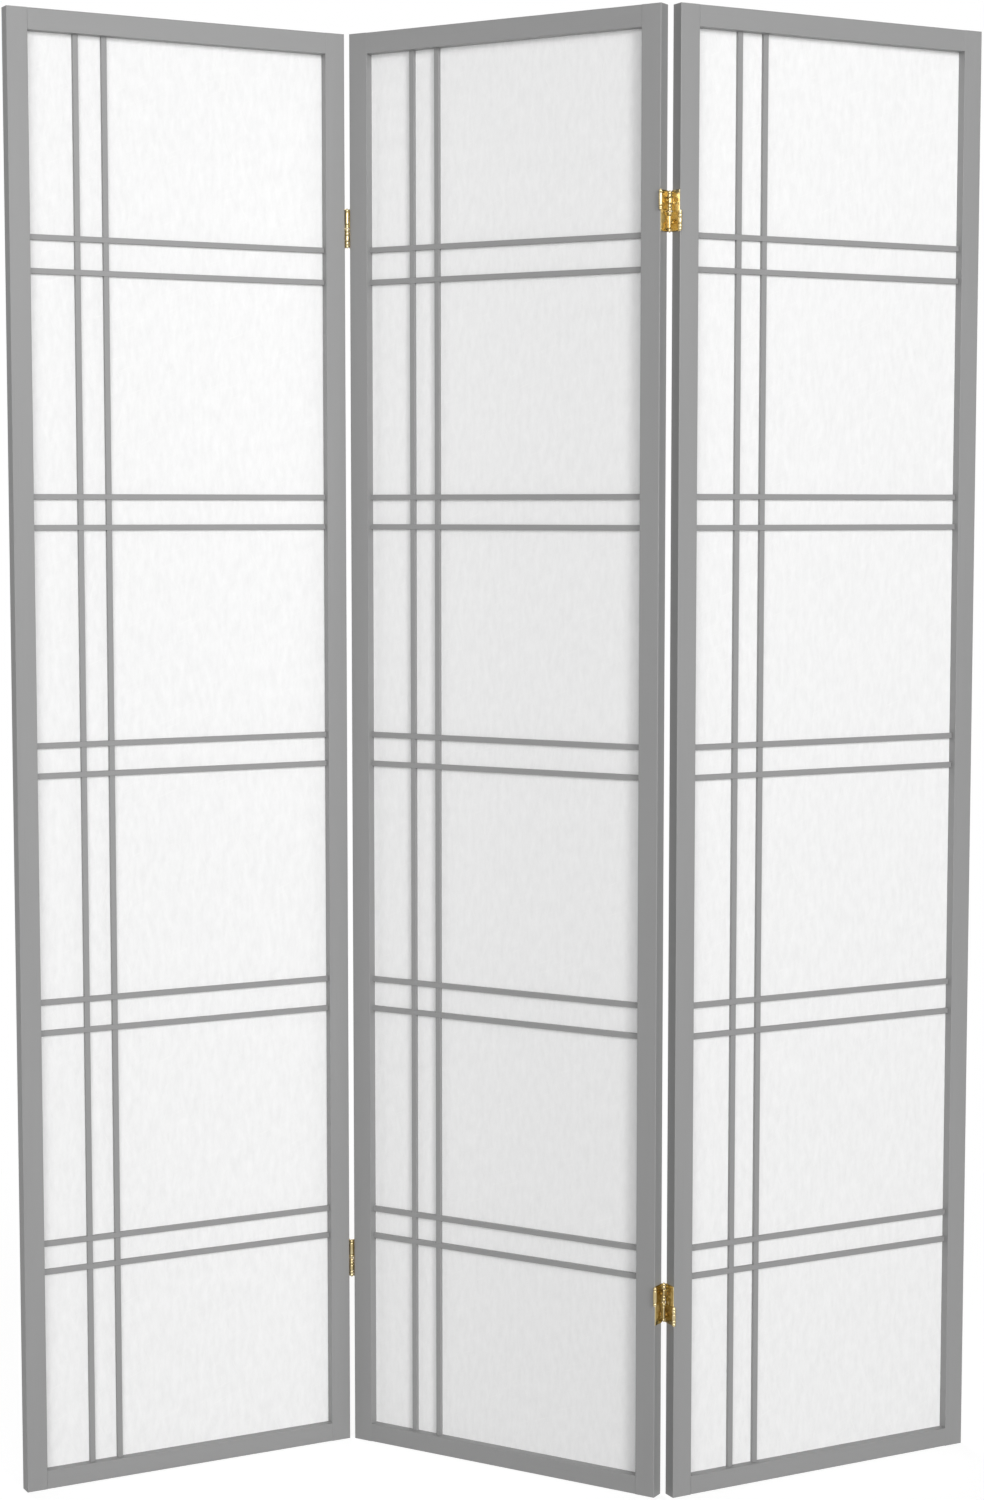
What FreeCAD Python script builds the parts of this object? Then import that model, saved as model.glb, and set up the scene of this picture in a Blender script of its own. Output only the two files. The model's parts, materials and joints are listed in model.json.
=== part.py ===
import FreeCAD, Part
import Sketcher
import os
import re

# Three-panel shoji folding screen, standing in a zigzag, in millimetres.
# The bottom of the panels is at Z = 0, +Y points away from the front of the
# screen, and the centre of the middle panel stands over the origin.
# Panels are numbered 1 to 3 from the left, seen from the front. Each panel is
# drawn in its own frame: X across it from its left edge, Y from its front face
# to its back face, Z up.

SIZES = {
    # whole panels
    "panel_width": 434.0,
    "panel_height": 1784.0,
    "panel_thickness": 18.0,
    "fold_angle": 58.2,
    # frame
    "stile_width": 25.6,
    "top_rail_height": 25.6,
    "bottom_rail_height": 23.0,
    "outer_edge_round": 1.0,
    "inner_edge_round": 0.5,
    "tenon_length": 16.0,
    "tenon_thickness": 6.0,
    "tenon_setback": 4.0,
    "tenon_shoulder": 4.0,
    "joint_clearance": 0.1,
    # lattice
    "slat_width": 6.6,
    "slat_depth": 4.8,
    "slat_setback": 7.2,
    "slat_edge_round": 0.4,
    "slat_end_depth": 5.0,
    "slat_clearance": 0.05,
    "left_upright_centre": 86.8,
    "right_upright_centre": 122.6,
    # cross slats, in pairs from the top: middle height of the pair, and the
    # distance between the centres of its two slats
    "pair_1_height": 1499.0,
    "pair_1_spacing": 39.7,
    "pair_2_height": 1194.1,
    "pair_2_spacing": 36.8,
    "pair_3_height": 895.7,
    "pair_3_spacing": 36.6,
    "pair_4_height": 582.9,
    "pair_4_spacing": 37.7,
    "pair_5_height": 286.5,
    "pair_5_spacing": 35.1,
    # paper and the beads that hold it from the back
    "rebate_width": 6.0,
    "paper_thickness": 0.4,
    "paper_edge_gap": 0.6,
    "bead_inset": 0.4,
    "bead_clearance": 0.1,
    "bead_edge_round": 1.6,
    # two-way hinges
    "hinge_gap": 3.5,
    "hinge_height": 48.0,
    "hinge_inset": 238.0,
    "axis_stand_out": 2.8,
    "knuckle_radius": 2.3,
    "knuckle_gap": 0.15,
    "barrel_end_inset": 0.5,
    "middle_gap": 2.6,
    "short_knuckle": 3.2,
    "leaf_thickness": 1.1,
    "leaf_inset": 0.3,
    "leaf_curl": 1.0,
    "link_thickness": 0.9,
    "link_clearance": 0.35,
    "pin_radius": 1.2,
    "pin_clearance": 0.05,
    "pin_seat_clearance": 0.02,
    "pin_head_radius": 2.0,
    "pin_head_height": 1.1,
    "pin_head_round": 0.8,
    "pin_tip_length": 1.0,
    "pin_tip_radius": 0.6,
    # wood screws through the leaves
    "screw_rise": 12.9,
    "screw_depth_place": 13.4,
    "screw_head_radius": 2.4,
    "screw_shank_radius": 1.3,
    "screw_length": 14.0,
    "screw_tip_length": 2.5,
    "screw_clearance": 0.05,
    "screw_slot_width": 0.6,
    "screw_slot_reach": 1.5,
    "screw_slot_depth": 0.6,
    "access_hole_radius": 3.1,
}

doc = FreeCAD.newDocument("folding_screen")
sheet = doc.addObject("Spreadsheet::Sheet", "Sizes")
for row, (alias, size) in enumerate(SIZES.items(), start=1):
    sheet.set(f"A{row}", alias.replace("_", " "))
    sheet.set(f"B{row}", str(size))
    sheet.setAlias(f"B{row}", alias)
doc.recompute()

# ---------------------------------------------------------------- places

# Formulas that several pieces share, in the panel's frame.
PAPER_FRONT = "(slat_setback + slat_depth)"
OPENING_WIDTH = "(panel_width - 2*stile_width)"
OPENING_HEIGHT = "(panel_height - top_rail_height - bottom_rail_height)"
FRONT_AXIS = "(-axis_stand_out)"
BACK_AXIS = "(panel_thickness + axis_stand_out)"
HINGE_HEIGHTS = {
    "upper": "(panel_height - hinge_inset)",
    "lower": "(hinge_inset)",
}

# Heights within the upper half of a hinge, counted from its middle. A barrel is
# three knuckles. On the left panel's barrels the leaf has one long knuckle
# between two short ones, and on the right panel's all three are alike.
BARREL_LOW = "(middle_gap/2)"
BARREL_HIGH = "(hinge_height/2 - barrel_end_inset)"
THIRD = "((hinge_height/2 - barrel_end_inset - middle_gap/2 - 2*knuckle_gap)/3)"
KNUCKLES = {"left": "short_knuckle", "right": THIRD}


def in_sheet(formula):
    """The formula with each size's name turned into its cell of the sheet."""
    return re.sub(
        r"[a-z]\w*",
        lambda word: "Sizes." + word.group() if word.group() in SIZES else word.group(),
        str(formula),
    )


def value(formula):
    return float(sheet.evalExpression(in_sheet(formula)))


def bind(item, **formulas):
    for name, formula in formulas.items():
        item.setExpression(name.replace("__", "."), in_sheet(formula))


def placed(x="0", y="0", z="0", turn="0"):
    """A placement at a point given by formulas, turned about Z by turn."""
    point = FreeCAD.Vector(value(x), value(y), value(z))
    return FreeCAD.Placement(point, FreeCAD.Rotation(FreeCAD.Vector(0, 0, 1), value(turn)))


def hung_from(parent, parent_point, turn, own_point):
    """The placement turned by turn that lays own_point on the parent's parent_point."""
    target = parent.multVec(placed(*parent_point).Base)
    turned = placed(turn=turn)
    return FreeCAD.Placement(target - turned.multVec(placed(*own_point).Base), turned.Rotation)


# The middle panel stands across the origin. Panel 1 hangs on the front axis at
# the middle panel's left, and panel 3 on the back axis at its right.
LEFT_FRONT = ("-hinge_gap/2", FRONT_AXIS)
RIGHT_FRONT = ("panel_width + hinge_gap/2", FRONT_AXIS)
LEFT_BACK = ("-hinge_gap/2", BACK_AXIS)
RIGHT_BACK = ("panel_width + hinge_gap/2", BACK_AXIS)
middle_turned = placed(turn="-fold_angle/2")
middle_centre = placed("panel_width/2", "panel_thickness/2").Base
middle_panel = FreeCAD.Placement(-middle_turned.multVec(middle_centre), middle_turned.Rotation)
PANELS = {
    1: hung_from(middle_panel, LEFT_FRONT, "fold_angle/2", RIGHT_FRONT),
    2: middle_panel,
    3: hung_from(middle_panel, RIGHT_BACK, "fold_angle/2", LEFT_BACK),
}

# ---------------------------------------------------------------- features


def new_body(name):
    body = doc.addObject("PartDesign::Body", name)
    body.Label = name
    return body


def origin_plane(body, role):
    return next(item for item in body.Origin.OriginFeatures if item.Role == role)


def outline(body, role, corners):
    """A closed sketch through corners, each held by its two distances from the origin."""
    sketch = body.newObject("Sketcher::SketchObject", body.Name + "_outline")
    sketch.AttachmentSupport = (origin_plane(body, role), [""])
    sketch.MapMode = "FlatFace"
    points = [FreeCAD.Vector(value(x), value(y), 0) for x, y in corners]
    count = len(points)
    for index in range(count):
        sketch.addGeometry(Part.LineSegment(points[index], points[(index + 1) % count]))
    for index in range(count):
        follower = (index + 1) % count
        sketch.addConstraint(Sketcher.Constraint("Coincident", index, 2, follower, 1))
    for index, (x, y) in enumerate(corners):
        start = points[index]
        across = sketch.addConstraint(Sketcher.Constraint("DistanceX", -1, 1, index, 1, start.x))
        up = sketch.addConstraint(Sketcher.Constraint("DistanceY", -1, 1, index, 1, start.y))
        sketch.setExpression(f"Constraints[{across}]", in_sheet(x))
        sketch.setExpression(f"Constraints[{up}]", in_sheet(y))
    return sketch


def pad(body, role, corners, length, symmetric=False):
    feature = body.newObject("PartDesign::Pad", body.Name + "_pad")
    feature.Profile = outline(body, role, corners)
    if symmetric:
        feature.SideType = "Symmetric"
    bind(feature, Length=length)
    feature.Profile[0].recompute()
    feature.recompute()
    return feature


def rectangle(width, height):
    return [("0", "0"), (width, "0"), (width, height), ("0", height)]


def round_edges(body, chosen, radius):
    """Rounds the edges of the body's tip for which chosen(edge) is true."""
    tip = body.Tip
    names = [f"Edge{i}" for i, edge in enumerate(tip.Shape.Edges, start=1) if chosen(edge)]
    feature = body.newObject("PartDesign::Fillet", body.Name + "_round")
    feature.Base = (tip, names)
    bind(feature, Radius=radius)
    feature.recompute()


def near(a, b):
    return abs(a - b) < 1e-6


def runs_along(edge, axis):
    """True for a straight edge along the axis with this index."""
    box = edge.BoundBox
    spans = (box.XLength, box.YLength, box.ZLength)
    return spans[axis] > 1e-3 and all(near(span, 0) for i, span in enumerate(spans) if i != axis)


def block(body, kind, x, y, z, length, width, height):
    """Adds or takes away a box: kind is Additive or Subtractive."""
    feature = body.newObject(f"PartDesign::{kind}Box", body.Name + "_block")
    feature.Refine = False
    bind(feature, Length=length, Width=width, Height=height)
    bind(feature, Placement__Base__x=x, Placement__Base__y=y, Placement__Base__z=z)
    return feature


def round_bar(body, kind, x, y, z, radius, height, end_radius=None, axis=(0, 0, 1)):
    """Adds or takes away a cylinder, or a cone where end_radius is given."""
    shape = "Cylinder" if end_radius is None else "Cone"
    feature = body.newObject(f"PartDesign::{kind}{shape}", body.Name + "_round_bar")
    feature.Refine = False
    up = FreeCAD.Vector(0, 0, 1)
    turn = FreeCAD.Rotation(up, FreeCAD.Vector(*axis))
    feature.Placement = FreeCAD.Placement(FreeCAD.Vector(), turn)
    bind(feature, Placement__Base__x=x, Placement__Base__y=y, Placement__Base__z=z)
    if end_radius is None:
        bind(feature, Radius=radius, Height=height)
    else:
        bind(feature, Radius1=radius, Radius2=end_radius, Height=height)
    return feature


def group(name, bodies):
    """One node of several separate solids."""
    gathered = doc.addObject("Part::Compound", name)
    gathered.Label = name
    gathered.Links = bodies
    return gathered


nodes = []

# ---------------------------------------------------------------- frame


def upright_centres():
    return ["left_upright_centre", "right_upright_centre"]


def slat_centres(pair):
    """Heights of the two slats of a pair, upper one first."""
    return [
        f"(pair_{pair}_height + pair_{pair}_spacing/2)",
        f"(pair_{pair}_height - pair_{pair}_spacing/2)",
    ]


def stile(panel, side):
    """A full-height post. Its origin is the front, outer or inner, left corner."""
    body = new_body(f"panel_{panel}_{side}_stile")
    pad(body, "XY_Plane", rectangle("stile_width", "panel_thickness"), "panel_height")
    inner_face = "stile_width" if side == "left" else "0"
    outer = value("0") if side == "left" else value("stile_width")
    round_edges(
        body,
        lambda edge: runs_along(edge, 2) and near(edge.BoundBox.XMin, outer),
        "outer_edge_round",
    )
    round_edges(
        body,
        lambda edge: runs_along(edge, 2) and near(edge.BoundBox.XMin, value(inner_face)),
        "inner_edge_round",
    )

    def cut_inward(depth, y, z, width, height):
        x = f"stile_width - ({depth})" if side == "left" else "0"
        block(body, "Subtractive", x, y, z, depth, width, height)

    # rebate for the paper and its beads, stopped at the rails' rebates
    cut_inward(
        "rebate_width",
        PAPER_FRONT,
        "bottom_rail_height - rebate_width",
        f"panel_thickness - {PAPER_FRONT}",
        f"{OPENING_HEIGHT} + 2*rebate_width",
    )
    # mortises for the rails' tenons
    rails = [("0", "bottom_rail_height"), ("panel_height - top_rail_height", "top_rail_height")]
    for bottom, height in rails:
        cut_inward(
            "tenon_length + joint_clearance",
            "tenon_setback - joint_clearance",
            f"{bottom} + tenon_shoulder - joint_clearance",
            "tenon_thickness + 2*joint_clearance",
            f"{height} - 2*tenon_shoulder + 2*joint_clearance",
        )
    # sockets for the ends of the cross slats
    for pair in range(1, 6):
        for centre in slat_centres(pair):
            cut_inward(
                "slat_end_depth",
                "slat_setback - slat_clearance",
                f"{centre} - slat_width/2 - slat_clearance",
                "slat_depth + slat_clearance",
                "slat_width + 2*slat_clearance",
            )
    # pilot holes for the screws of the hinge leaves
    if (panel, side) not in ((1, "left"), (3, "right")):
        outward_x = "0" if side == "left" else "stile_width"
        inward = 1 if side == "left" else -1
        for height in HINGE_HEIGHTS.values():
            for sign in ("+", "-"):
                round_bar(
                    body,
                    "Subtractive",
                    outward_x,
                    "screw_depth_place",
                    f"{height} {sign} screw_rise",
                    "screw_shank_radius + screw_clearance",
                    "screw_length - leaf_thickness + screw_clearance",
                    axis=(inward, 0, 0),
                )
    left_x = "0" if side == "left" else "panel_width - stile_width"
    body.Placement = PANELS[panel].multiply(placed(left_x))
    nodes.append(body)


def rail(panel, end):
    """A rail between the stiles. Its origin is its lower front left corner."""
    height = f"{end}_rail_height"
    body = new_body(f"panel_{panel}_{end}_rail")
    pad(body, "YZ_Plane", rectangle("panel_thickness", height), OPENING_WIDTH)
    outer = value(height) if end == "top" else 0.0
    round_edges(
        body,
        lambda edge: runs_along(edge, 0) and near(edge.BoundBox.ZMin, outer),
        "outer_edge_round",
    )
    round_edges(
        body,
        lambda edge: runs_along(edge, 0) and not near(edge.BoundBox.ZMin, outer)
        and (near(edge.BoundBox.YMin, 0) or near(edge.BoundBox.YMin, value("panel_thickness"))),
        "inner_edge_round",
    )
    # rebate for the paper and its beads, along the whole rail
    inner_z = "0" if end == "top" else f"{height} - rebate_width"
    block(
        body, "Subtractive", "0", PAPER_FRONT, inner_z,
        OPENING_WIDTH, f"panel_thickness - {PAPER_FRONT}", "rebate_width",
    )
    # a tenon on each end
    for x in ("-tenon_length", OPENING_WIDTH):
        block(
            body, "Additive", x, "tenon_setback", "tenon_shoulder",
            "tenon_length", "tenon_thickness", f"{height} - 2*tenon_shoulder",
        )
    # sockets for the ends of the upright slats
    socket_z = "0" if end == "top" else f"{height} - slat_end_depth"
    for centre in upright_centres():
        block(
            body,
            "Subtractive",
            f"{centre} - stile_width - slat_width/2 - slat_clearance",
            "slat_setback - slat_clearance",
            socket_z,
            "slat_width + 2*slat_clearance",
            "slat_depth + slat_clearance",
            "slat_end_depth",
        )
    z = "panel_height - top_rail_height" if end == "top" else "0"
    body.Placement = PANELS[panel].multiply(placed("stile_width", "0", z))
    nodes.append(body)


# ---------------------------------------------------------------- lattice

SLAT_REACH = "(slat_end_depth - slat_clearance)"


def upright(panel, side):
    """An upright slat, halved from the front where each cross slat passes."""
    body = new_body(f"panel_{panel}_{side}_upright")
    length = f"{OPENING_HEIGHT} + 2*{SLAT_REACH}"
    pad(body, "XY_Plane", rectangle("slat_width", "slat_depth"), length)
    round_edges(
        body,
        lambda edge: runs_along(edge, 2) and near(edge.BoundBox.YMin, 0),
        "slat_edge_round",
    )
    foot = f"(bottom_rail_height - {SLAT_REACH})"
    for pair in range(1, 6):
        for centre in slat_centres(pair):
            block(
                body,
                "Subtractive",
                "0",
                "0",
                f"{centre} - slat_width/2 - slat_clearance - {foot}",
                "slat_width",
                "slat_depth/2",
                "slat_width + 2*slat_clearance",
            )
    x = f"{side}_upright_centre - slat_width/2"
    body.Placement = PANELS[panel].multiply(placed(x, "slat_setback", foot))
    nodes.append(body)


def cross_slats(panel, pair):
    """A close pair of cross slats, halved from the back over the uprights."""
    bodies = []
    left_end = f"(stile_width - {SLAT_REACH})"
    for which, centre in zip(("high", "low"), slat_centres(pair)):
        body = new_body(f"panel_{panel}_pair_{pair}_{which}_slat")
        length = f"{OPENING_WIDTH} + 2*{SLAT_REACH}"
        pad(body, "YZ_Plane", rectangle("slat_depth", "slat_width"), length)
        round_edges(
            body,
            lambda edge: runs_along(edge, 0) and near(edge.BoundBox.YMin, 0),
            "slat_edge_round",
        )
        for upright_centre in upright_centres():
            block(
                body,
                "Subtractive",
                f"{upright_centre} - slat_width/2 - slat_clearance - {left_end}",
                "slat_depth/2",
                "0",
                "slat_width + 2*slat_clearance",
                "slat_depth/2",
                "slat_width",
            )
        low_edge = f"{centre} - slat_width/2"
        body.Placement = PANELS[panel].multiply(placed(left_end, "slat_setback", low_edge))
        bodies.append(body)
    nodes.append(group(f"panel_{panel}_cross_slats_{pair}", bodies))


# ---------------------------------------------------------------- paper


def paper(panel):
    """The sheet lies against the back of the lattice, its edge in the rebate."""
    body = new_body(f"panel_{panel}_paper")
    overlap = "(rebate_width - paper_edge_gap)"
    width = f"{OPENING_WIDTH} + 2*{overlap}"
    pad(body, "XY_Plane", rectangle(width, "paper_thickness"), f"{OPENING_HEIGHT} + 2*{overlap}")
    body.Placement = PANELS[panel].multiply(
        placed(f"stile_width - {overlap}", PAPER_FRONT, f"bottom_rail_height - {overlap}")
    )
    nodes.append(body)


def paper_beads(panel):
    """Four strips that fill the rebate behind the paper's edge."""
    section = "(rebate_width - bead_clearance)"
    depth = f"(panel_thickness - {PAPER_FRONT} - paper_thickness - bead_inset)"
    long_height = f"({OPENING_HEIGHT} + 2*{section})"
    y = f"{PAPER_FRONT} + paper_thickness"
    low_z = f"bottom_rail_height - {section}"
    high_z = "panel_height - top_rail_height"
    right_x = "panel_width - stile_width"
    strips = {
        "left": (f"stile_width - {section}", low_z, section, long_height),
        "right": (right_x, low_z, section, long_height),
        "bottom": ("stile_width", low_z, OPENING_WIDTH, section),
        "top": ("stile_width", high_z, OPENING_WIDTH, section),
    }
    bodies = []
    for side, (x, z, width, height) in strips.items():
        body = new_body(f"panel_{panel}_{side}_bead")
        pad(body, "XY_Plane", rectangle(width, depth), height)
        along = 2 if side in ("left", "right") else 0
        inner = {
            "left": lambda box: near(box.XMin, value(width)),
            "right": lambda box: near(box.XMin, 0),
            "bottom": lambda box: near(box.ZMin, value(height)),
            "top": lambda box: near(box.ZMin, 0),
        }[side]
        round_edges(
            body,
            lambda edge: runs_along(edge, along) and inner(edge.BoundBox)
            and near(edge.BoundBox.YMin, value(depth)),
            "bead_edge_round",
        )
        body.Placement = PANELS[panel].multiply(placed(x, y, z))
        bodies.append(body)
    nodes.append(group(f"panel_{panel}_paper_beads", bodies))


# ---------------------------------------------------------------- hinges

# A hinge is drawn flat, about the middle of the gap between two panels: X from
# the left panel to the right one, Y as in a panel, Z from the hinge's middle.
# Each half has one link, which crosses the gap from a front barrel to a back
# barrel. The upper link joins the left leaf in front and the right leaf behind,
# and the lower link the right leaf in front and the left leaf behind.


def spans(kind, half):
    """The leaf's knuckle and the link's two, as (low, high) heights in one half."""
    end = KNUCKLES[kind]
    low_link = (BARREL_LOW, f"({BARREL_LOW} + {end})")
    high_link = (f"({BARREL_HIGH} - {end})", BARREL_HIGH)
    leaf = (f"({low_link[1]} + knuckle_gap)", f"({high_link[0]} - knuckle_gap)")
    found = [leaf, low_link, high_link]
    if half == "lower":
        found = [(f"(-{high})", f"(-{low})") for low, high in found]
    return found[0], found[1:]


def barrel_side(kind, half):
    """The depth of the axis that the leaf of this side turns on in this half."""
    in_front = (kind == "left") == (half == "upper")
    return FRONT_AXIS if in_front else BACK_AXIS


def leaf(name, kind, place):
    """A leaf flat on a stile's edge, with its two knuckles and its screw holes."""
    body = new_body(name)
    inner_x = "-hinge_gap/2" if kind == "left" else "hinge_gap/2 - leaf_thickness"
    outer_x = "-hinge_gap/2 + leaf_thickness" if kind == "left" else "hinge_gap/2"
    corners = [
        (inner_x, "leaf_inset"),
        (outer_x, "leaf_inset"),
        (outer_x, "panel_thickness - leaf_inset"),
        (inner_x, "panel_thickness - leaf_inset"),
    ]
    pad(body, "XY_Plane", corners, "hinge_height", symmetric=True)
    for half in ("upper", "lower"):
        (low, high), _ = spans(kind, half)
        axis_y = barrel_side(kind, half)
        curl_y = f"{FRONT_AXIS} + leaf_curl" if axis_y == FRONT_AXIS else "panel_thickness - leaf_inset"
        reach = "axis_stand_out - leaf_curl + leaf_inset"
        block(body, "Additive", inner_x, curl_y, low, "leaf_thickness", reach, f"{high} - {low}")
        round_bar(body, "Additive", "0", axis_y, low, "knuckle_radius", f"{high} - {low}")
    for half in ("upper", "lower"):
        (low, high), _ = spans(kind, half)
        bore = "pin_radius + pin_seat_clearance"
        round_bar(body, "Subtractive", "0", barrel_side(kind, half), low, bore, f"{high} - {low}")
    # the screws' heads lie in countersinks as deep as the leaf
    face_x = outer_x if kind == "left" else inner_x
    into_wood = -1 if kind == "left" else 1
    for sign in ("", "-"):
        round_bar(
            body,
            "Subtractive",
            face_x,
            "screw_depth_place",
            f"{sign}screw_rise",
            "screw_head_radius + screw_clearance",
            "leaf_thickness",
            end_radius="screw_shank_radius + screw_clearance",
            axis=(into_wood, 0, 0),
        )
    body.Placement = place
    nodes.append(body)


def link(name, half, place):
    """The plate of one half with its four knuckles, and a hole over a screw."""
    body = new_body(name)
    front_kind = "left" if half == "upper" else "right"
    back_kind = "right" if half == "upper" else "left"
    stand_off = "(knuckle_radius + link_clearance)"
    _, front_knuckles = spans(front_kind, half)
    _, back_knuckles = spans(back_kind, half)
    (f_low, f_notch_low), (f_notch_high, f_high) = sorted(
        front_knuckles, key=lambda span: value(span[0])
    )
    (b_low, b_notch_low), (b_notch_high, b_high) = sorted(
        back_knuckles, key=lambda span: value(span[0])
    )
    front_notch = f"{FRONT_AXIS} + {stand_off}"
    back_notch = f"{BACK_AXIS} - {stand_off}"
    corners = [
        (FRONT_AXIS, f_low),
        (BACK_AXIS, b_low),
        (BACK_AXIS, b_notch_low),
        (back_notch, b_notch_low),
        (back_notch, b_notch_high),
        (BACK_AXIS, b_notch_high),
        (BACK_AXIS, b_high),
        (FRONT_AXIS, f_high),
        (FRONT_AXIS, f_notch_high),
        (front_notch, f_notch_high),
        (front_notch, f_notch_low),
        (FRONT_AXIS, f_notch_low),
    ]
    pad(body, "YZ_Plane", corners, "link_thickness", symmetric=True)
    for axis_y, knuckles in ((FRONT_AXIS, front_knuckles), (BACK_AXIS, back_knuckles)):
        for low, high in knuckles:
            round_bar(body, "Additive", "0", axis_y, low, "knuckle_radius", f"{high} - {low}")
    for axis_y, low, high in ((FRONT_AXIS, f_low, f_high), (BACK_AXIS, b_low, b_high)):
        bore = "pin_radius + pin_clearance"
        round_bar(body, "Subtractive", "0", axis_y, low, bore, f"{high} - {low}")
    sign = "" if half == "upper" else "-"
    round_bar(
        body,
        "Subtractive",
        "-link_thickness",
        "screw_depth_place",
        f"{sign}screw_rise",
        "access_hole_radius",
        "2*link_thickness",
        axis=(1, 0, 0),
    )
    body.Placement = place
    return body


def pin(name, kind, half, place):
    """A pin riveted in the leaf's knuckle, with a round head at the hinge's middle."""
    body = new_body(name)
    axis_y = barrel_side(kind, half)
    head = f"({BARREL_LOW} - pin_clearance)"
    disc = body.newObject("PartDesign::AdditiveCylinder", body.Name + "_head")
    bind(disc, Radius="pin_head_radius", Height="pin_head_height")
    bind(disc, Placement__Base__z=f"{head} - pin_head_height")
    disc.recompute()
    round_edges(body, lambda edge: near(edge.BoundBox.ZMax, disc.Placement.Base.z), "pin_head_round")
    shank = f"{BARREL_HIGH} - {head}"
    round_bar(body, "Additive", "0", "0", head, "pin_radius", shank)
    round_bar(body, "Additive", "0", "0", BARREL_HIGH, "pin_radius", "pin_tip_length", "pin_tip_radius")
    upside = FreeCAD.Rotation(FreeCAD.Vector(1, 0, 0), 0 if half == "upper" else 180)
    body.Placement = place.multiply(FreeCAD.Placement(placed("0", axis_y).Base, upside))
    return body


def screw(name, kind, sign, place):
    """A countersunk wood screw with a cross slot, along its own Z from its head."""
    body = new_body(name)
    head_height = "leaf_thickness"
    round_bar(
        body, "Additive", "0", "0", "0", "screw_head_radius", head_height, "screw_shank_radius"
    )
    shank = f"screw_length - {head_height} - screw_tip_length"
    round_bar(body, "Additive", "0", "0", head_height, "screw_shank_radius", shank)
    tip_z = "screw_length - screw_tip_length"
    round_bar(
        body, "Additive", "0", "0", tip_z, "screw_shank_radius", "screw_tip_length",
        "screw_shank_radius/8",
    )
    long_way = "2*screw_slot_reach"
    for length, width in ((long_way, "screw_slot_width"), ("screw_slot_width", long_way)):
        block(
            body, "Subtractive", f"-({length})/2", f"-({width})/2", "0",
            length, width, "screw_slot_depth",
        )
    into_wood = -1 if kind == "left" else 1
    face_x = "-hinge_gap/2 + leaf_thickness" if kind == "left" else "hinge_gap/2 - leaf_thickness"
    point = placed(face_x, "screw_depth_place", f"{sign}screw_rise").Base
    turn = FreeCAD.Rotation(FreeCAD.Vector(0, 0, 1), FreeCAD.Vector(into_wood, 0, 0))
    body.Placement = place.multiply(FreeCAD.Placement(point, turn))
    return body


def hinge_place(panel, panel_edge, level):
    """The frame of a hinge as it lies flat against one edge of a panel."""
    x = "-hinge_gap/2" if panel_edge == "left" else "panel_width + hinge_gap/2"
    return PANELS[panel].multiply(placed(x, "0", HINGE_HEIGHTS[level]))


def hinges():
    """Two hinges at each junction, at the fold of the screen as it stands."""
    pins = {panel: [] for panel in PANELS}
    screws = {panel: [] for panel in PANELS}
    # junction: left panel, right panel, and the panel that each link lies
    # against while the screen stands in its zigzag
    junctions = {
        "left_junction": (1, 2, {"upper": 2, "lower": 1}),
        "right_junction": (2, 3, {"upper": 2, "lower": 3}),
    }
    for junction, (left_panel, right_panel, link_panels) in junctions.items():
        for level in HINGE_HEIGHTS:
            for kind, panel in (("left", left_panel), ("right", right_panel)):
                edge = "right" if kind == "left" else "left"
                place = hinge_place(panel, edge, level)
                leaf(f"{junction}_{level}_hinge_{kind}_leaf", kind, place)
                stem = f"{junction}_{level}_{kind}"
                for half in ("upper", "lower"):
                    pins[panel].append(pin(f"{stem}_{half}_pin", kind, half, place))
                for sign, half in (("", "upper"), ("-", "lower")):
                    screws[panel].append(screw(f"{stem}_{half}_screw", kind, sign, place))
        for half, panel in link_panels.items():
            edge = "right" if panel == left_panel else "left"
            bodies = []
            for level in HINGE_HEIGHTS:
                place = hinge_place(panel, edge, level)
                bodies.append(link(f"{junction}_{level}_{half}_link", half, place))
            nodes.append(group(f"{junction}_{half}_links", bodies))
    for panel in PANELS:
        nodes.append(group(f"panel_{panel}_hinge_pins", pins[panel]))
        nodes.append(group(f"panel_{panel}_hinge_screws", screws[panel]))


# ---------------------------------------------------------------- assembly

for number in PANELS:
    stile(number, "left")
    stile(number, "right")
    rail(number, "top")
    rail(number, "bottom")
    upright(number, "left")
    upright(number, "right")
    for pair_number in range(1, 6):
        cross_slats(number, pair_number)
    paper(number)
    paper_beads(number)
hinges()
doc.recompute()

# Nothing is written unless every feature and every piece is sound.
for item in doc.Objects:
    if "Invalid" in item.State or "Error" in item.State:
        raise RuntimeError(f"{item.Label} did not compute: {item.State}")
for node in nodes:
    if node.Shape.isNull() or not node.Shape.isValid():
        raise RuntimeError(f"{node.Label} has no valid shape")

os.makedirs("parts", exist_ok=True)
for node in nodes:
    node.Shape.exportStep(f"parts/{node.Label}.step")
    print(node.Label, len(node.Shape.Solids), "solids", round(node.Shape.Volume), "mm3")
print(len(nodes), "nodes")
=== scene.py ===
# Paper folding screen: finishes, paper sheets, eased hinges, floor, light and camera, set
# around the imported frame.
import json
import math

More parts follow.
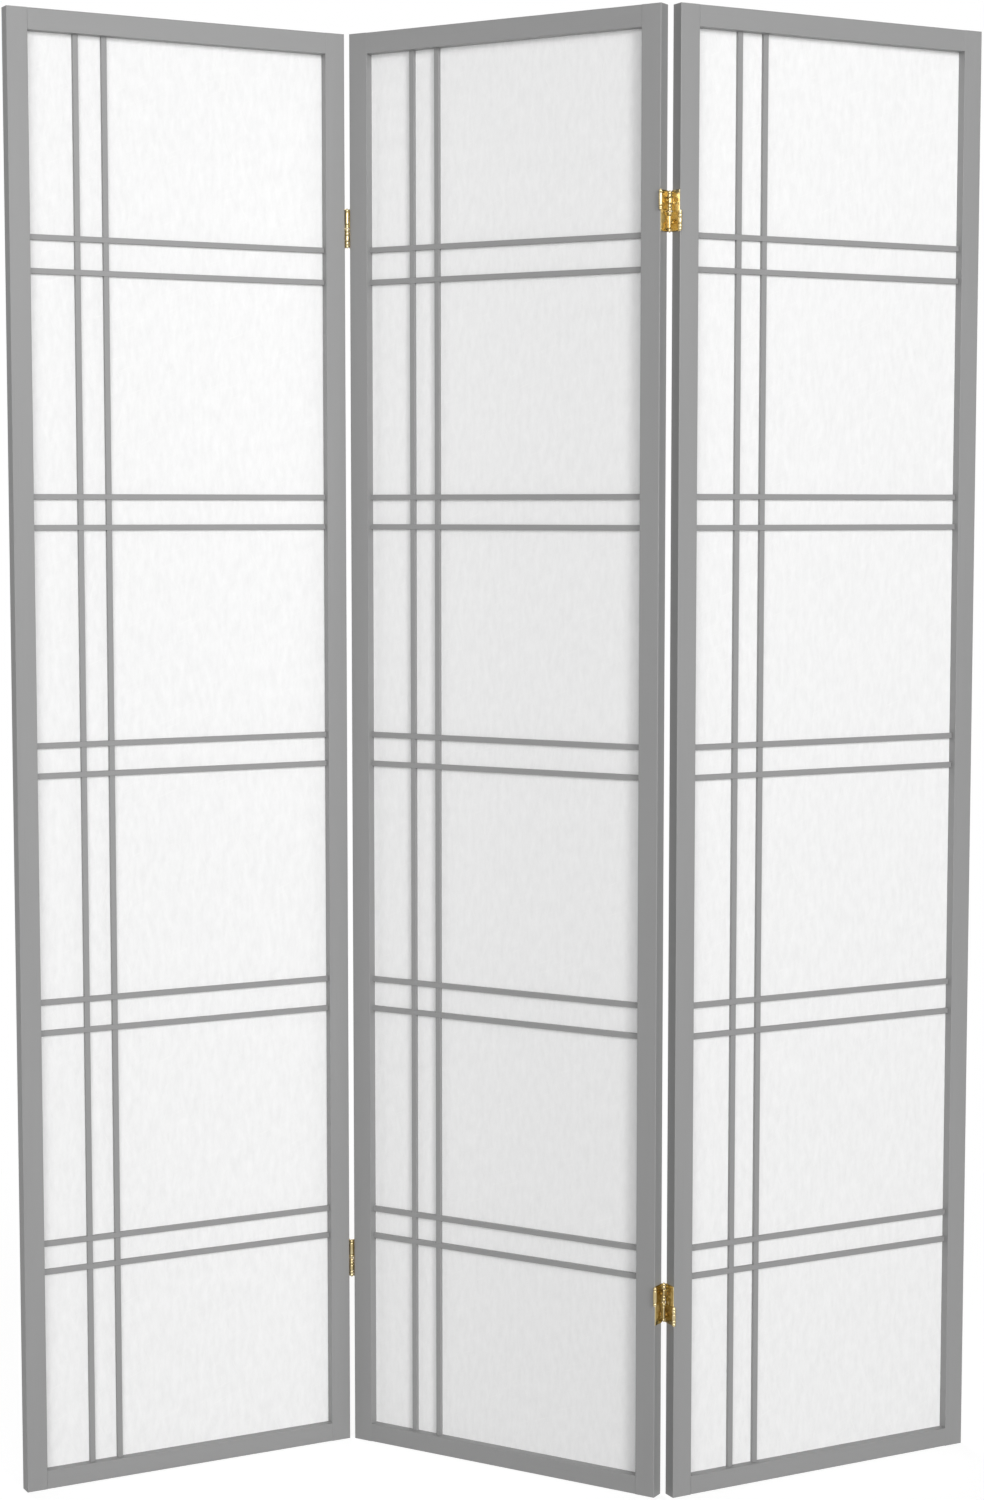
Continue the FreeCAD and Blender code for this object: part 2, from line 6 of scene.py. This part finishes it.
import bmesh
import bpy
import numpy as np
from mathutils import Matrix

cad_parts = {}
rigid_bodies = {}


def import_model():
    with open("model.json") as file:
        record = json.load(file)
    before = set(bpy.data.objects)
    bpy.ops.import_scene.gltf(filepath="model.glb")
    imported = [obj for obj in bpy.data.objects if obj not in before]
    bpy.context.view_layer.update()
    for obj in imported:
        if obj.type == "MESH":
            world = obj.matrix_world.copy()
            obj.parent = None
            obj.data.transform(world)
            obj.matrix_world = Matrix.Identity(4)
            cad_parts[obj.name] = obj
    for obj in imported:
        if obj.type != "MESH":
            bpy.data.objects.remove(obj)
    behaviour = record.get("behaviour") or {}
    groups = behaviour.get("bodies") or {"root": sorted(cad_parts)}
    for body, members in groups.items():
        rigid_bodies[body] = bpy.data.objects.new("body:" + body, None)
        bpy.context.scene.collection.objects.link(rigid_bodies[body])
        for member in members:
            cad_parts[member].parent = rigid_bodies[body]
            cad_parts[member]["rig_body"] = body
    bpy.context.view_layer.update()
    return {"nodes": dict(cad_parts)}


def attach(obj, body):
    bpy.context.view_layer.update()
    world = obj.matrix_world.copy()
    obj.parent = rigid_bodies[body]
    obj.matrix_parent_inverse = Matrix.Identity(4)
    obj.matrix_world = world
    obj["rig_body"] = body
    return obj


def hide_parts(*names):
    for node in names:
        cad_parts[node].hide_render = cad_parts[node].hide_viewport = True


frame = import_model()
nodes = frame["nodes"]
print("frame loaded:", len(nodes), "nodes")


def linear(hexColour):  # sRGB hex to the linear colour that shaders take
    parts = [int(hexColour[i:i + 2], 16) / 255 for i in (1, 3, 5)]
    return tuple(c / 12.92 if c <= 0.04045 else ((c + 0.055) / 1.055) ** 2.4
                 for c in parts) + (1.0,)


def newMaterial(name):
    material = bpy.data.materials.new(name)
    material.use_nodes = True
    material.node_tree.nodes.clear()
    return material, material.node_tree


def addNode(tree, kind, inputs=None, **settings):  # an input is a value, or a socket to link
    node = tree.nodes.new("ShaderNode" + kind)
    for name, value in settings.items():
        setattr(node, name, value)
    for name, value in (inputs or {}).items():
        if isinstance(value, bpy.types.NodeSocket):
            tree.links.new(value, node.inputs[name])
        else:
            node.inputs[name].default_value = value
    return node


def newObject(name, data):
    item = bpy.data.objects.new(name, data)
    bpy.context.scene.collection.objects.link(item)
    return item


mixA, mixB = 6, 7   # the colour inputs of a Mix node
mixColour = 2       # its colour output
foldAngle = 58.2    # degrees by which each fold stands away from flat
foldTurn = math.radians(foldAngle / 2)   # of panels 1 and 3, and the other way for panel 2
panelTurn = {1: foldTurn, 2: -foldTurn, 3: foldTurn}

lacquer = {
    "shade": "#909090",
    "lightShade": "#969696",
    "poreShade": "#848484",
    "poreShare": 0.35,              # how much of that shade the deepest grain takes
    "poreFrom": (0.62, 0.80),       # where in the grain the pores begin and are deepest
    "roughness": (0.42, 0.54),
    "ior": 1.5,
    "grainSize": (0.110, 0.0012),   # fine straight grain, 1.2 mm apart, long along the wood
    "toneSize": (0.300, 0.028),     # slow change of tone along a board
    "peelSize": 0.0022,             # orange peel of the spray coat, 2 mm
    "grainDepth": 0.00005,
    "peelDepth": 0.000010,
}


def satinLacquer(name, turn, upright):
    # Sprayed satin grey lacquer on solid wood: an even mid grey whose soft sheen shows a
    # trace of the grain below it and a faint orange peel.
    material, tree = newMaterial(name)
    place = addNode(tree, "TexCoord").outputs["Object"]

    def stretched(along, across):
        size = (across, across, along) if upright else (along, across, across)
        return addNode(tree, "Mapping", {"Vector": place, "Rotation": (0, 0, turn), "Scale": size},
                       vector_type="TEXTURE").outputs["Vector"]

    grain = addNode(tree, "TexNoise", {"Vector": stretched(*lacquer["grainSize"]), "Scale": 1.0,
                                       "Detail": 3.0, "Roughness": 0.6,
                                       "Distortion": 0.4}).outputs["Fac"]
    tone = addNode(tree, "TexNoise", {"Vector": stretched(*lacquer["toneSize"]), "Scale": 1.0,
                                      "Detail": 2.0}).outputs["Fac"]
    even = stretched(lacquer["peelSize"], lacquer["peelSize"])
    peel = addNode(tree, "TexNoise", {"Vector": even, "Scale": 1.0, "Detail": 1.0}).outputs["Fac"]
    toned = addNode(tree, "Mix", {0: tone, mixA: linear(lacquer["shade"]),
                                  mixB: linear(lacquer["lightShade"])}, data_type="RGBA")
    pores = addNode(tree, "MapRange", {"Value": grain, "From Min": lacquer["poreFrom"][0],
                                       "From Max": lacquer["poreFrom"][1],
                                       "To Min": 0.0, "To Max": lacquer["poreShare"]})
    colour = addNode(tree, "Mix", {0: pores.outputs[0], mixA: toned.outputs[mixColour],
                                   mixB: linear(lacquer["poreShade"])}, data_type="RGBA")
    sheen = addNode(tree, "MapRange", {"Value": grain, "To Min": lacquer["roughness"][0],
                                       "To Max": lacquer["roughness"][1]})
    grainBump = addNode(tree, "Bump", {"Height": grain, "Strength": 1.0,
                                       "Distance": lacquer["grainDepth"]})
    peelBump = addNode(tree, "Bump", {"Height": peel, "Strength": 1.0,
                                      "Distance": lacquer["peelDepth"],
                                      "Normal": grainBump.outputs["Normal"]})
    shader = addNode(tree, "BsdfPrincipled", {"Base Color": colour.outputs[mixColour],
                                              "Roughness": sheen.outputs[0], "IOR": lacquer["ior"],
                                              "Normal": peelBump.outputs["Normal"]})
    addNode(tree, "OutputMaterial", {"Surface": shader.outputs["BSDF"]})
    return material


paper = {
    "shade": "#f8f8f8",
    "cloudShade": "#f0f0f0",
    "fibreShade": "#fbfbfa",
    "roughness": 0.85,
    "ior": 1.45,
    "cloudSize": (0.020, 0.006),   # cloudy thickness of the pulp, drawn out along the sheet
    "cloudFrom": (0.3, 0.7),       # where in the noise the thin and the thick pulp begin
    "fibreSize": (0.030, 0.0010),  # long kozo fibres, drawn 1 mm wide so that they show
    "fibreTurns": (0.25, 1.2, 2.7),   # radians from upright
    "fibreFrom": (0.64, 0.74),     # only the peaks of the noise are fibres
    "fibreShare": 0.55,
    "fibreDepth": 0.00005,
    "fibreRaise": 0.6,             # how much of that depth the light sees
}


def shojiPaper(name, turn):
    # Bleached kozo paper, sheet-formed: clean white and quite matte, with pale long fibres
    # lying mostly along the sheet and a cloudy look where the pulp is thicker.
    material, tree = newMaterial(name)
    place = addNode(tree, "TexCoord").outputs["Object"]
    flat = addNode(tree, "Mapping", {"Vector": place, "Rotation": (0, 0, turn)},
                   vector_type="TEXTURE").outputs["Vector"]
    cloudLong, cloudWide = paper["cloudSize"]
    cloudPlace = addNode(tree, "Mapping", {"Vector": flat, "Scale": (cloudWide, 1.0, cloudLong)},
                         vector_type="TEXTURE").outputs["Vector"]
    cloud = addNode(tree, "TexNoise", {"Vector": cloudPlace, "Scale": 1.0, "Detail": 4.0,
                                       "Roughness": 0.65}).outputs["Fac"]
    clouding = addNode(tree, "MapRange", {"Value": cloud, "From Min": paper["cloudFrom"][0],
                                          "From Max": paper["cloudFrom"][1]}).outputs[0]
    long, wide = paper["fibreSize"]
    fibres = None
    for fibreTurn in paper["fibreTurns"]:
        lying = addNode(tree, "Mapping", {"Vector": flat, "Rotation": (0, fibreTurn, 0),
                                          "Scale": (wide, 1.0, long)}, vector_type="TEXTURE")
        layer = addNode(tree, "TexNoise", {"Vector": lying.outputs["Vector"], "Scale": 1.0,
                                           "Detail": 1.0, "Distortion": 0.8}).outputs["Fac"]
        thin = addNode(tree, "MapRange", {"Value": layer, "From Min": paper["fibreFrom"][0],
                                          "From Max": paper["fibreFrom"][1],
                                          "To Max": paper["fibreShare"]}).outputs[0]
        fibres = thin if fibres is None else addNode(
            tree, "Math", {0: fibres, 1: thin}, operation="MAXIMUM").outputs[0]
    clouded = addNode(tree, "Mix", {0: clouding, mixA: linear(paper["cloudShade"]),
                                    mixB: linear(paper["shade"])}, data_type="RGBA")
    colour = addNode(tree, "Mix", {0: fibres, mixA: clouded.outputs[mixColour],
                                   mixB: linear(paper["fibreShade"])}, data_type="RGBA")
    raised = addNode(tree, "Bump", {"Height": fibres, "Strength": paper["fibreRaise"],
                                    "Distance": paper["fibreDepth"]})
    shader = addNode(tree, "BsdfPrincipled", {"Base Color": colour.outputs[mixColour],
                                              "Roughness": paper["roughness"],
                                              "IOR": paper["ior"],
                                              "Normal": raised.outputs["Normal"]})
    addNode(tree, "OutputMaterial", {"Surface": shader.outputs["BSDF"]})
    return material


brass = {
    # edge: a dark reflection tint, painted shade on faces seen edge-on, like the barrels' flanks
    "plate": {"shade": "#c9ba92", "darkShade": "#b9a67a",
              "roughness": (0.16, 0.26), "edge": "#8a7444"},
    "pin": {"shade": "#efe0b8", "darkShade": "#dcc28c",
            "roughness": (0.08, 0.15), "edge": "#b09a60"},
    "screw": {"shade": "#e6d09c", "darkShade": "#b89760",
              "roughness": (0.12, 0.22), "edge": "#8a7444"},
    "brushSize": (0.004, 0.00035),   # polishing marks along the height, 0.35 mm apart
    "brushDepth": 0.000008,
    "tarnishSize": 0.014,            # patches of tarnish, about 14 mm across
    "tarnishFrom": (0.45, 0.75),     # where in the noise they begin and are brownest
}


def platedBrass(name, finish):
    # Rolled sheet steel plated in brass and polished: pale gold that mirrors the room, deeper
    # where two faces mirror each other, painted olive brown shade from a dark edge tint where a
    # curved face turns away, faint upright polishing marks and browner tarnish in soft patches.
    material, tree = newMaterial(name)
    place = addNode(tree, "TexCoord").outputs["Object"]
    long, wide = brass["brushSize"]
    brushed = addNode(tree, "Mapping", {"Vector": place, "Scale": (wide, wide, long)},
                      vector_type="TEXTURE")
    marks = addNode(tree, "TexNoise", {"Vector": brushed.outputs["Vector"], "Scale": 1.0,
                                       "Detail": 2.0}).outputs["Fac"]
    patches = addNode(tree, "Mapping", {"Vector": place, "Scale": (brass["tarnishSize"],) * 3},
                      vector_type="TEXTURE")
    tarnish = addNode(tree, "TexNoise", {"Vector": patches.outputs["Vector"], "Scale": 1.0,
                                         "Detail": 3.0}).outputs["Fac"]
    browned = addNode(tree, "MapRange", {"Value": tarnish, "From Min": brass["tarnishFrom"][0],
                                         "From Max": brass["tarnishFrom"][1]})
    colour = addNode(tree, "Mix", {0: browned.outputs[0], mixA: linear(finish["shade"]),
                                   mixB: linear(finish["darkShade"])}, data_type="RGBA")
    dulled = addNode(tree, "MapRange", {"Value": marks, "To Min": finish["roughness"][0],
                                        "To Max": finish["roughness"][1]})
    bump = addNode(tree, "Bump", {"Height": marks, "Strength": 1.0,
                                  "Distance": brass["brushDepth"]})
    shader = addNode(tree, "BsdfPrincipled", {"Base Color": colour.outputs[mixColour],
                                              "Metallic": 1.0, "Roughness": dulled.outputs[0],
                                              # a dark olive Specular Tint paints shade onto faces
                                              # seen edge-on
                                              "Specular Tint": linear(finish["edge"]),
                                              "Normal": bump.outputs["Normal"]})
    addNode(tree, "OutputMaterial", {"Surface": shader.outputs["BSDF"]})
    return material


uprightLacquer = satinLacquer("satin_lacquer_upright", 0.0, True)
crossLacquer = {n: satinLacquer(f"satin_lacquer_across_{n}", panelTurn[n], False) for n in (1, 2)}
crossLacquer[3] = crossLacquer[1]
sheetPaper = {n: shojiPaper(f"kozo_paper_{n}", panelTurn[n]) for n in (1, 2)}
sheetPaper[3] = sheetPaper[1]
brassFinish = {kind: platedBrass(f"plated_brass_{kind}", brass[kind])
               for kind in ("plate", "pin", "screw")}


def finishOf(name):
    number = int(name.split("_")[1]) if name.startswith("panel_") else 0
    if name.endswith("_pins"):
        return brassFinish["pin"]
    if name.endswith("_screws"):
        return brassFinish["screw"]
    if not number:
        return brassFinish["plate"]
    if name.endswith("_paper"):
        return sheetPaper[number]
    if name.endswith("_rail") or "_cross_slats_" in name:
        return crossLacquer[number]
    return uprightLacquer


for name, node in nodes.items():
    for slotOfNode in node.material_slots:
        slotOfNode.material = finishOf(name)
print("finishes set")

panel = {
    "width": 0.434, "thickness": 0.018,
    "hingeGap": 0.0035,   # between two panels
    "standOut": 0.0028,   # how far the barrels' axes stand out of the front and the back
}
hingeLine = {"near": -panel["hingeGap"] / 2, "far": panel["width"] + panel["hingeGap"] / 2}
frontAxis, backAxis = -panel["standOut"], panel["thickness"] + panel["standOut"]


def turned(x, y, angle):
    return np.array([x * math.cos(angle) - y * math.sin(angle),
                     x * math.sin(angle) + y * math.cos(angle)])


def panelPlaces():
    # each panel's lower front left corner: panel 2 is centred over the origin, panel 1 hangs
    # on the front axis at its left, and panel 3 on the back axis at its right
    near, far = hingeLine["near"], hingeLine["far"]
    middle = -turned(panel["width"] / 2, panel["thickness"] / 2, -foldTurn)
    left = middle + turned(near, frontAxis, -foldTurn) - turned(far, frontAxis, foldTurn)
    right = middle + turned(far, backAxis, -foldTurn) - turned(near, backAxis, foldTurn)
    return {1: left, 2: middle, 3: right}


corners = panelPlaces()

sheetOfPaper = {
    "left": 0.0202, "right": 0.4138,            # its edges on the panel, inside the rebate
    "foot": 0.0176, "head": 1.7638,
    "front": 0.0120, "thickness": 0.0004,       # from the panel's front, at the lattice's back
    "open": (0.0256, 0.4084, 0.0230, 1.7584),   # the opening of the frame
    "uprights": (0.0868, 0.1226),               # the middles of the slats
    "crossings": (1.51885, 1.47915, 1.2125, 1.1757, 0.9140,
                  0.8774, 0.60175, 0.56405, 0.30405, 0.26895),
    "slat": 0.0066,
    "bow": 0.00040,                             # how far the largest free field hangs back
    "ripple": 0.00010,
    "rippleWaves": ((71, 23), (37, -59)),       # radians per metre across and up the sheet
    "columns": 90, "rows": 300,
}


def freeFields(low, high, centres):
    # the free spans between the slats, as pairs of edges
    half = sheetOfPaper["slat"] / 2
    edges = [low] + [c + side * half for c in sorted(centres) for side in (-1, 1)] + [high]
    return list(zip(edges[::2], edges[1::2]))


def bowAcross(line, fields):
    # half a sine wave over each free span, as high as the square root of its length, 0 on a slat
    bow = np.zeros_like(line)
    for low, high in fields:
        inside = (line > low) & (line < high)
        bow[inside] = np.sin(math.pi * (line[inside] - low) / (high - low)) * math.sqrt(high - low)
    return bow


def gridFaces(rows, columns):
    # the squares of a grid whose points are stored row by row
    corner = (np.arange(rows - 1)[:, None] * columns + np.arange(columns - 1)[None, :]).ravel()
    return np.stack([corner, corner + 1, corner + columns + 1, corner + columns], axis=1)


def paperSheet(number):
    # u runs over the width and v up the height. The depth is the back of the lattice plus a
    # shallow bow in each free field, plus two crossed ripples where the sheet is free.
    left, right, foot, head = sheetOfPaper["open"]
    u = np.linspace(sheetOfPaper["left"], sheetOfPaper["right"], sheetOfPaper["columns"])
    v = np.linspace(sheetOfPaper["foot"], sheetOfPaper["head"], sheetOfPaper["rows"])
    acrossBow = bowAcross(u, freeFields(left, right, sheetOfPaper["uprights"]))
    upBow = bowAcross(v, freeFields(foot, head, sheetOfPaper["crossings"]))
    free = upBow[:, None] * acrossBow[None, :]
    free = free / free.max()
    gridU, gridV = np.meshgrid(u, v)
    ripples = sum(np.sin(gridU * across + gridV * up + shift * number)
                  for shift, (across, up) in enumerate(sheetOfPaper["rippleWaves"], 1))
    hang = sheetOfPaper["bow"] + sheetOfPaper["ripple"] * ripples / 2
    depth = sheetOfPaper["front"] + free * hang
    turn = panelTurn[number]
    x = corners[number][0] + gridU * math.cos(turn) - depth * math.sin(turn)
    y = corners[number][1] + gridU * math.sin(turn) + depth * math.cos(turn)
    points = np.stack([x.ravel(), y.ravel(), gridV.ravel()], axis=1)
    faces = gridFaces(sheetOfPaper["rows"], sheetOfPaper["columns"])
    mesh = bpy.data.meshes.new(f"panel_{number}_kozo_sheet")
    mesh.from_pydata(points.tolist(), [], faces.tolist())
    mesh.polygons.foreach_set("use_smooth", np.ones(len(faces), bool))
    mesh.materials.append(sheetPaper[number])
    piece = newObject(mesh.name, mesh)
    body = piece.modifiers.new("thickness", "SOLIDIFY")
    body.thickness = sheetOfPaper["thickness"]
    body.offset = -1.0
    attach(piece, f"panel_{number}")
    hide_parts(f"panel_{number}_paper")
    lattice = [f"panel_{number}_{side}_upright" for side in ("left", "right")]
    pairs = len(sheetOfPaper["crossings"]) // 2
    lattice += [f"panel_{number}_cross_slats_{pair}" for pair in range(1, pairs + 1)]


for number in (1, 2, 3):
    paperSheet(number)
print("paper sheets made")

easing = {
    "edge": 0.00022,           # the stamped plates' edges are just eased
    "segments": 2,
    "sharpFrom": 35.0,         # degrees between faces that count as an edge
    "knuckleRadius": 0.0023,
    "barrelReach": 0.0031,     # from a barrel's axis, within which an edge is left sharp
    "endWithin": 0.00004,      # of the radius, for a vertex that marks a knuckle's end
    "barrelWithin": 0.00006,   # of the radius, for a vertex that is drawn in
    "crownLength": 0.0021,     # the rolled knuckles round over towards their ends, 2.1 mm long
    "crownDepth": 0.00055,     # and 0.55 mm deep
    "crownCuts": (0.00008, 0.0003, 0.0006, 0.0010, 0.0014, 0.0018),   # rings, from an end
    "cutWithin": 1e-7,         # of a ring, for a vertex that is already there
    "mergeWithin": 1e-6,       # of each other, for vertices that are made one
    "flatWithin": 0.5,         # degrees between faces that are made one
}


def vertexPlaces(mesh):
    place = np.empty(len(mesh.vertices) * 3)
    mesh.vertices.foreach_get("co", place)
    return place.reshape(-1, 3)


def knuckleEnds(mesh, axes):
    # the heights of the vertices on the barrels, which are where the knuckles end
    place = vertexPlaces(mesh)
    reach = np.linalg.norm(place[:, None, :2] - axes[None], axis=2)
    off = np.abs(reach - easing["knuckleRadius"]).min(axis=1)
    return np.unique(np.round(place[off < easing["endWithin"], 2], 6))


def roundedKnuckles(mesh, axes, ends):
    # Distance d from the nearer end of its knuckle moves a barrel vertex in towards the axis by
    # depth * (1 - sqrt(1 - (1 - d / length) ** 2)), a quarter of an ellipse.
    place = vertexPlaces(mesh)
    fromAxes = place[:, None, :2] - axes[None]
    reach = np.linalg.norm(fromAxes, axis=2)
    nearest = (np.arange(len(place)), reach.argmin(axis=1))
    onBarrel = np.abs(reach[nearest] - easing["knuckleRadius"]) < easing["barrelWithin"]
    fromEnd = np.abs(place[:, 2][:, None] - ends[None]).min(axis=1)
    share = np.clip(1 - fromEnd / easing["crownLength"], 0, 1)
    drawnIn = easing["crownDepth"] * (1 - np.sqrt(1 - share ** 2))
    outward = fromAxes[nearest] / np.maximum(reach[nearest], easing["mergeWithin"])[:, None]
    place[onBarrel, :2] -= (outward * drawnIn[:, None])[onBarrel]
    mesh.vertices.foreach_set("co", place.ravel())


def toNearestAxis(point, axes):
    return np.linalg.norm(axes - (point.x, point.y), axis=1).min()


def easedHinge(name, node, axes):
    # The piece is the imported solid's own surface, merged and with its flats made whole. Its
    # knuckles are cut into rings that round over at the ends, and the plates' edges are eased.
    mesh = node.data.copy()
    mesh.name = name + "_eased"
    work = bmesh.new()
    work.from_mesh(mesh)
    bmesh.ops.remove_doubles(work, verts=work.verts, dist=easing["mergeWithin"])
    bmesh.ops.dissolve_limit(work, angle_limit=math.radians(easing["flatWithin"]),
                             verts=work.verts, edges=work.edges)
    work.to_mesh(mesh)
    ends = knuckleEnds(mesh, axes)
    cuts = [end + side * cut for end in ends for side in (-1, 1) for cut in easing["crownCuts"]]
    for height in sorted(cuts):
        everything = work.verts[:] + work.edges[:] + work.faces[:]
        bmesh.ops.bisect_plane(work, geom=everything, dist=easing["cutWithin"],
                               plane_co=(0, 0, height), plane_no=(0, 0, 1))
    weights = work.edges.layers.float.new("bevel_weight_edge")
    sharpFrom = math.radians(easing["sharpFrom"])
    for edge in work.edges:
        if len(edge.link_faces) != 2 or edge.calc_face_angle(0.0) < sharpFrom:
            continue
        middle = (edge.verts[0].co + edge.verts[1].co) / 2
        nearBarrel = toNearestAxis(middle, axes) < easing["barrelReach"]
        edge[weights] = 0.0 if nearBarrel else 1.0
        edge.smooth = not nearBarrel
    for face in work.faces:
        face.smooth = True
    work.to_mesh(mesh)
    work.free()
    mesh.materials.clear()
    mesh.materials.append(brassFinish["plate"])
    roundedKnuckles(mesh, axes, ends)
    piece = newObject(mesh.name, mesh)
    rounding = piece.modifiers.new("rounding", "BEVEL")
    rounding.limit_method = "WEIGHT"
    rounding.width = easing["edge"]
    rounding.segments = easing["segments"]
    rounding.harden_normals = True
    rounding.use_clamp_overlap = True
    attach(piece, node["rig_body"])
    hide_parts(name)


barrelAxes = np.array([corners[number] + turned(hingeLine[side], depth, panelTurn[number])
                       for number, side in ((1, "far"), (2, "near"), (2, "far"), (3, "near"))
                       for depth in (frontAxis, backAxis)])
for name, node in list(nodes.items()):
    if name.endswith("_leaf") or name.endswith("_links"):
        easedHinge(name, node, barrelAxes)
print("hinges eased")

floor = {
    "reach": 14.0,            # metres from the middle to the edge
    "lines": 3,               # grid lines each way
    "shade": "#bcbcbc",       # how much of the light it sends back up to the screen
    "seenShade": "#8c8c8c",   # the share of it that darkens where the screen shades it
    "fill": 0.84,             # light that only the eye gets, so that the open floor is white
    "clearFrom": 0.9, "clearTo": 1.8,   # metres out, where the shadow has ended
}


def floorGrid(reach, count):
    # a flat square: x and y run evenly from minus reach to reach, z is 0
    line = np.linspace(-reach, reach, count)
    x, y = np.meshgrid(line, line)
    return np.stack([x.ravel(), y.ravel(), np.zeros(x.size)], axis=1), gridFaces(count, count)


def shownToTheEye(tree):
    # 1 for the camera and for what metal mirrors or glass shows, 0 for light on the screen
    path = addNode(tree, "LightPath").outputs
    cameraOrGlossy = addNode(tree, "Math", {0: path["Is Camera Ray"], 1: path["Is Glossy Ray"]},
                             operation="MAXIMUM").outputs[0]
    return addNode(tree, "Math", {0: cameraOrGlossy, 1: path["Is Transmission Ray"]},
                   operation="MAXIMUM").outputs[0]


def whiteFloor():
    # Matte white studio paper: shows the soft shadow at the feet and runs out to plain white.
    material, tree = newMaterial("studio_floor")
    place = addNode(tree, "TexCoord").outputs["Object"]
    away = addNode(tree, "VectorMath", {0: place}, operation="LENGTH").outputs["Value"]
    clear = addNode(tree, "MapRange", {"Value": away, "From Min": floor["clearFrom"],
                                       "From Max": floor["clearTo"]},
                    interpolation_type="SMOOTHSTEP")
    matte = addNode(tree, "BsdfDiffuse", {"Color": linear(floor["shade"])}).outputs["BSDF"]
    fill = addNode(tree, "Emission", {"Strength": floor["fill"]}).outputs["Emission"]
    white = addNode(tree, "Emission", {"Strength": 1.0}).outputs["Emission"]
    shaded = addNode(tree, "BsdfDiffuse", {"Color": linear(floor["seenShade"])}).outputs["BSDF"]
    lit = addNode(tree, "AddShader", {0: shaded, 1: fill}).outputs[0]
    seen = addNode(tree, "MixShader", {0: clear.outputs[0], 1: lit, 2: white}).outputs[0]
    both = addNode(tree, "MixShader", {0: shownToTheEye(tree), 1: matte, 2: seen}).outputs[0]
    addNode(tree, "OutputMaterial", {"Surface": both})
    return material


points, faces = floorGrid(floor["reach"], floor["lines"])
floorMesh = bpy.data.meshes.new("studio_floor")
floorMesh.from_pydata(points.tolist(), [], faces.tolist())
floorMesh.materials.append(whiteFloor())
floorObject = newObject("studio_floor", floorMesh)

room = {"fill": 0.20, "white": 1.0}   # strength that lights the screen, and strength that is seen
world = bpy.data.worlds.new("studio")
world.use_nodes = True
world.node_tree.nodes.clear()
bpy.context.scene.world = world
strength = addNode(world.node_tree, "MapRange", {"Value": shownToTheEye(world.node_tree),
                                                 "To Min": room["fill"],
                                                 "To Max": room["white"]}).outputs[0]
sky = addNode(world.node_tree, "Background", {"Color": linear("#ffffff"), "Strength": strength})
addNode(world.node_tree, "OutputWorld", {"Surface": sky.outputs["Background"]})

lamps = {   # softboxes: degrees round from the front and up, metres and watts
    "key": {"azimuth": 31.0, "height": 15.0, "distance": 9.0,
            "size": (2.8, 5.4), "power": 352.0},    # tall and narrow, draws the slats' shadows
    "front": {"azimuth": -5.0, "height": 14.0, "distance": 9.0,
              "size": (9.0, 6.0), "power": 360.0},  # broad and soft
    "rear": {"azimuth": 205.0, "height": 34.0, "distance": 18.0,
             "size": (6.6, 6.6), "power": 1250.0},  # for the back of the screen
}
aimPoint = np.array([0.0, 0.0, 0.95])   # all lamps point at the middle of the screen
for lampName, lamp in lamps.items():
    azimuth, height = math.radians(lamp["azimuth"]), math.radians(lamp["height"])
    outward = np.array([math.cos(height) * math.sin(azimuth),
                        -math.cos(height) * math.cos(azimuth), math.sin(height)])
    data = bpy.data.lights.new(lampName, "AREA")
    data.shape = "ELLIPSE"
    data.size, data.size_y = lamp["size"]
    data.energy = lamp["power"]
    lampObject = newObject(lampName, data)
    lampObject.location = aimPoint + outward * lamp["distance"]
    lampObject.rotation_euler = (math.pi / 2 - height, 0, azimuth)

camera = {
    "place": (0.0678, -3.4270, 1.1993),
    "down": 4.948, "turn": 1.37,      # degrees, down and to the left
    "lens": 67.13, "sensor": 36.0,    # millimetres
}
cameraData = bpy.data.cameras.new("photo_camera")
cameraData.lens = camera["lens"]
cameraData.sensor_width = camera["sensor"]
cameraObject = newObject("photo_camera", cameraData)
cameraObject.location = camera["place"]
cameraObject.rotation_euler = (math.radians(90 - camera["down"]), 0,
                               math.radians(camera["turn"]))
bpy.context.scene.camera = cameraObject
bpy.context.scene.view_settings.view_transform = "Standard"
print("floor, light and camera set")
